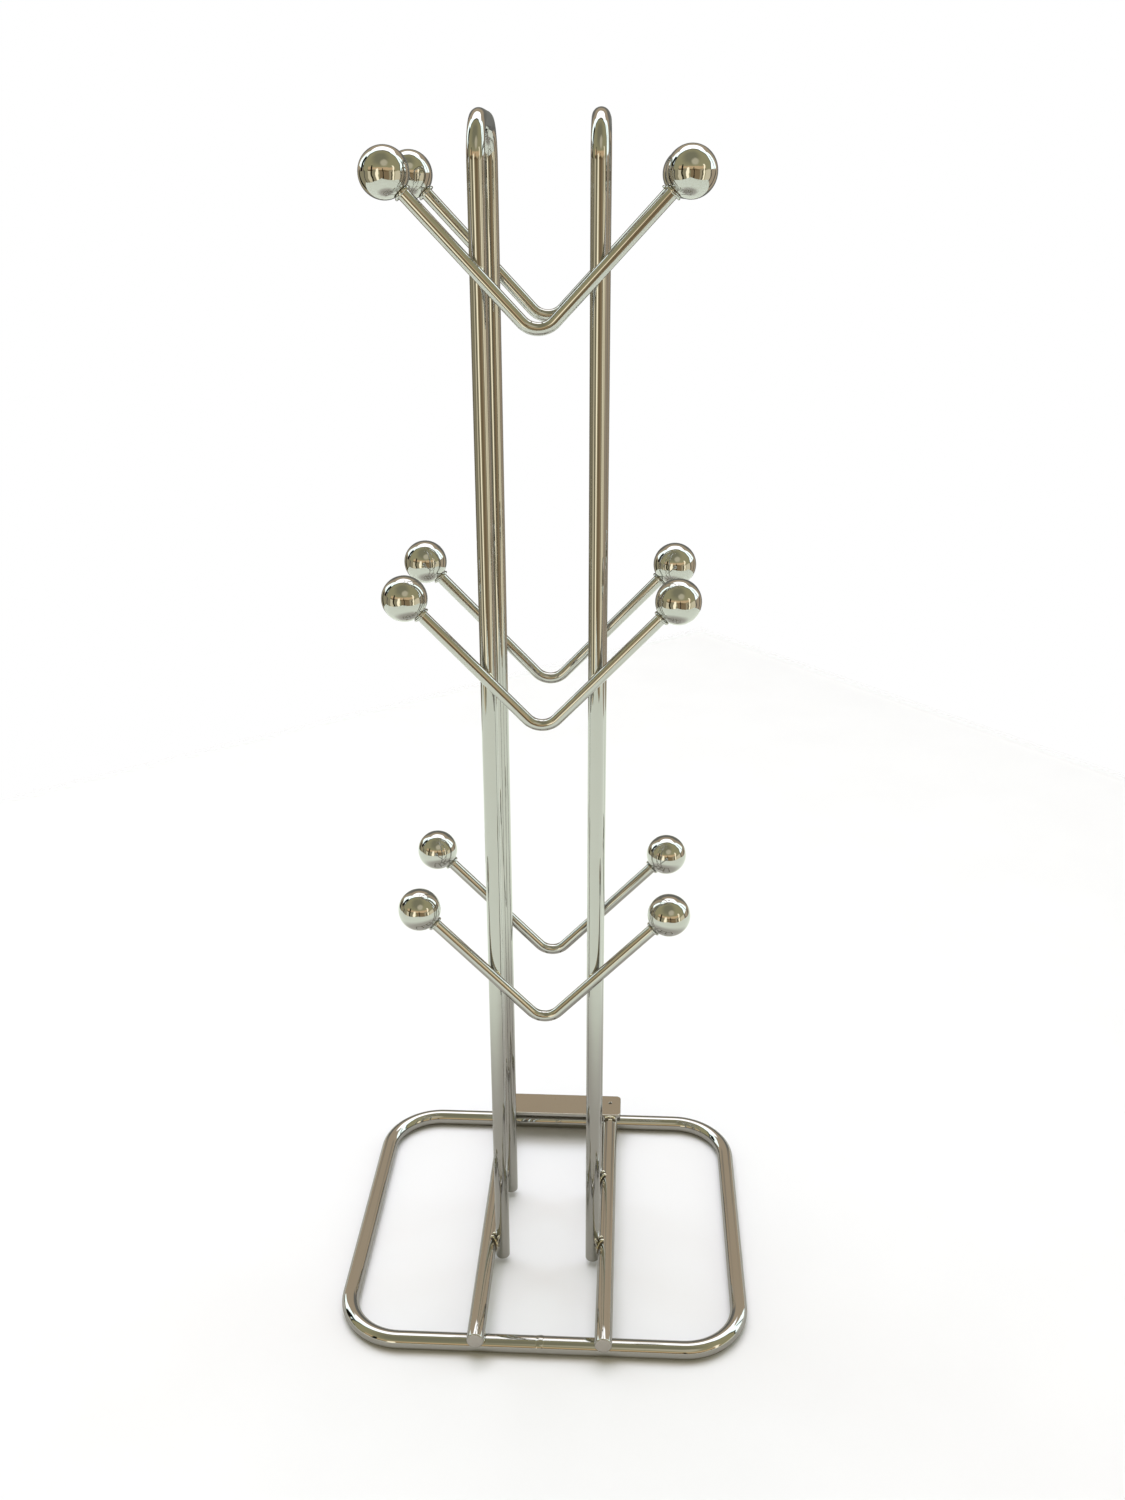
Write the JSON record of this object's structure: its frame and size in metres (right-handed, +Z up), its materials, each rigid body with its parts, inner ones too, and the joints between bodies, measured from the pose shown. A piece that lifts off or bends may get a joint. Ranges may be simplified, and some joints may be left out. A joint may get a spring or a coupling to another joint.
{
  "type": "mug tree",
  "caption": "Free-standing chromed wire mug tree: a flat wire base, hairpin uprights and tiers of V-shaped arms that end in balls.",
  "frame": {"origin": "on the table, under the middle of the base", "axes": "+Z up, +X to the right when the V wires face the viewer, +Y from front to rear, towards the small plate"},
  "size_m": [0.156, 0.142, 0.4215],
  "materials": {
    "wire_chrome": "bright chrome plate",
    "ball_chrome": "polished chrome plate",
    "plate_chrome": "chrome plate over flat sheet",
    "weld": "chrome plate over rough weld beads"
  },
  "bodies": {
    "root": {"ring_left": "wire_chrome", "ring_right": "wire_chrome", "ring_seam_welds": "weld", "crossbar_left": "wire_chrome", "crossbar_right": "wire_chrome", "crossbar_welds": "weld", "rear_plate": "plate_chrome", "plate_welds": "weld", "upright_left": "wire_chrome", "upright_right": "wire_chrome", "upright_welds": "weld", "arms_low_front": "wire_chrome", "arms_low_rear": "wire_chrome", "arms_middle_front": "wire_chrome", "arms_middle_rear": "wire_chrome", "arms_top_front": "wire_chrome", "arms_top_rear": "wire_chrome", "arm_welds_low": "weld", "arm_welds_middle": "weld", "arm_welds_top": "weld", "ball_low_front_left": "ball_chrome", "ball_low_front_right": "ball_chrome", "ball_low_rear_left": "ball_chrome", "ball_low_rear_right": "ball_chrome", "ball_middle_front_left": "ball_chrome", "ball_middle_front_right": "ball_chrome", "ball_middle_rear_left": "ball_chrome", "ball_middle_rear_right": "ball_chrome", "ball_top_front_left": "ball_chrome", "ball_top_front_right": "ball_chrome", "ball_top_rear_left": "ball_chrome", "ball_top_rear_right": "ball_chrome"}
  },
  "joints": []
}
